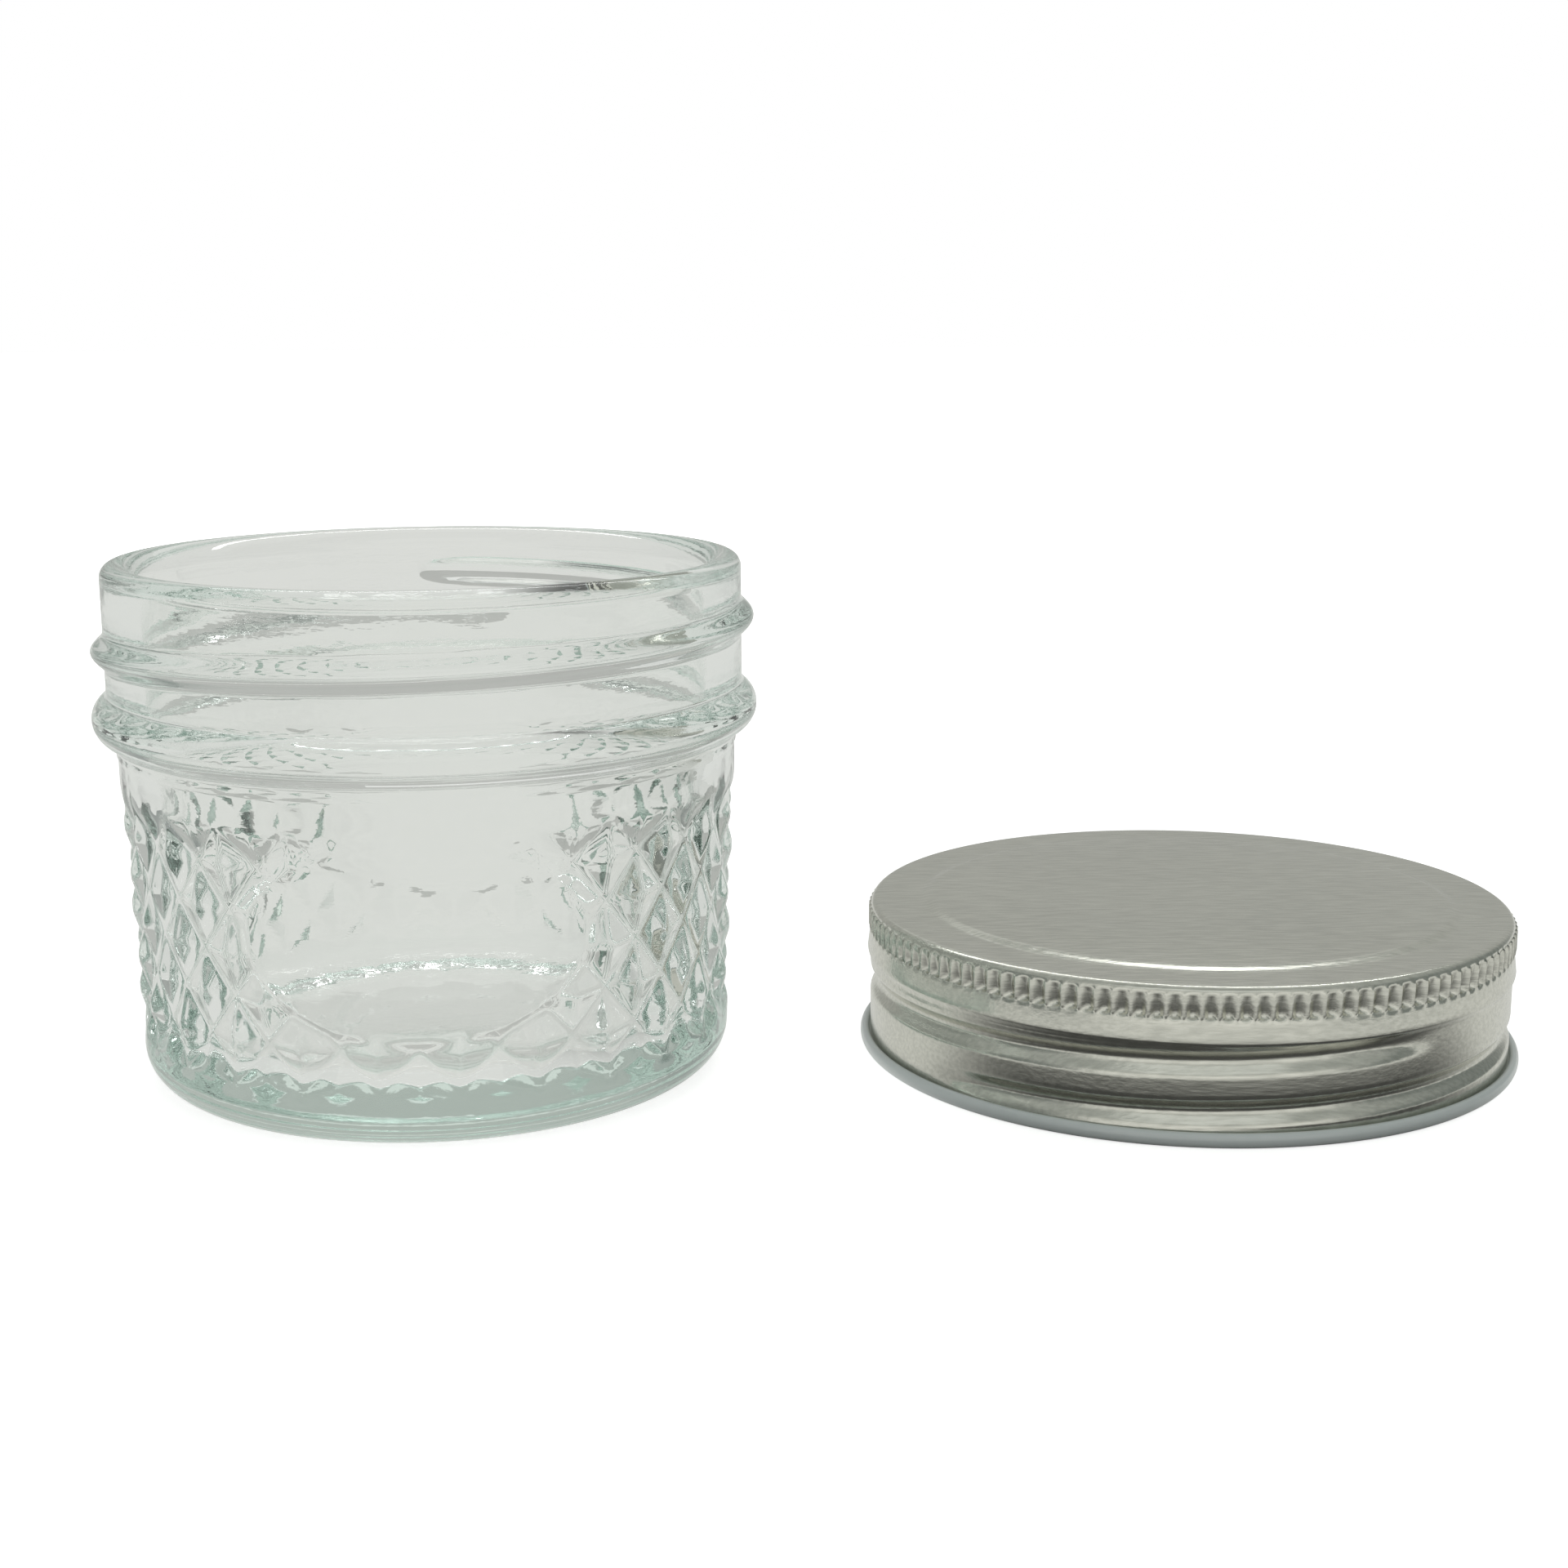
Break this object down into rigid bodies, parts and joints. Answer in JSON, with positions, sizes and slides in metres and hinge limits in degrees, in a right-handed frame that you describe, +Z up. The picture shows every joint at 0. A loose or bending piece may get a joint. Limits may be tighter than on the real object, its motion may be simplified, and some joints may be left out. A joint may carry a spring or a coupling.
{
  "type": "quilted glass jar with screw lid",
  "caption": "Small round pressed-glass jar with a quilted wall and plain oval panels, and a one-piece ribbed metal screw lid lying beside it.",
  "frame": {"origin": "on the jar's axis, in the plane of the table that the jar stands on", "axes": "+Z up the jar's axis towards its mouth, +X towards the lid that lies beside the jar, +Y away from the viewer"},
  "size_m": [0.1516, 0.0757, 0.0545],
  "materials": {
    "clear_glass": "pressed glass, fire-polished, faint green",
    "liner_foam": "white closed-cell foam",
    "lid_metal": "satin tinplate with white enamel inside"
  },
  "bodies": {
    "jar": {"glass_jar": "clear_glass"},
    "liner": {"sealing_liner": "liner_foam"},
    "lid": {"lid_shell": "lid_metal"}
  },
  "joints": [
    {"name": "lid_lift", "type": "slide", "parent": "jar", "child": "liner", "axis": [0, 0, 1], "range_m": [0, 0.075]},
    {"name": "lid_turn", "type": "hinge", "parent": "liner", "child": "lid", "pos_m": [0.08143, 0.0056, 0], "axis": [0, 0, 1], "continuous": true}
  ]
}
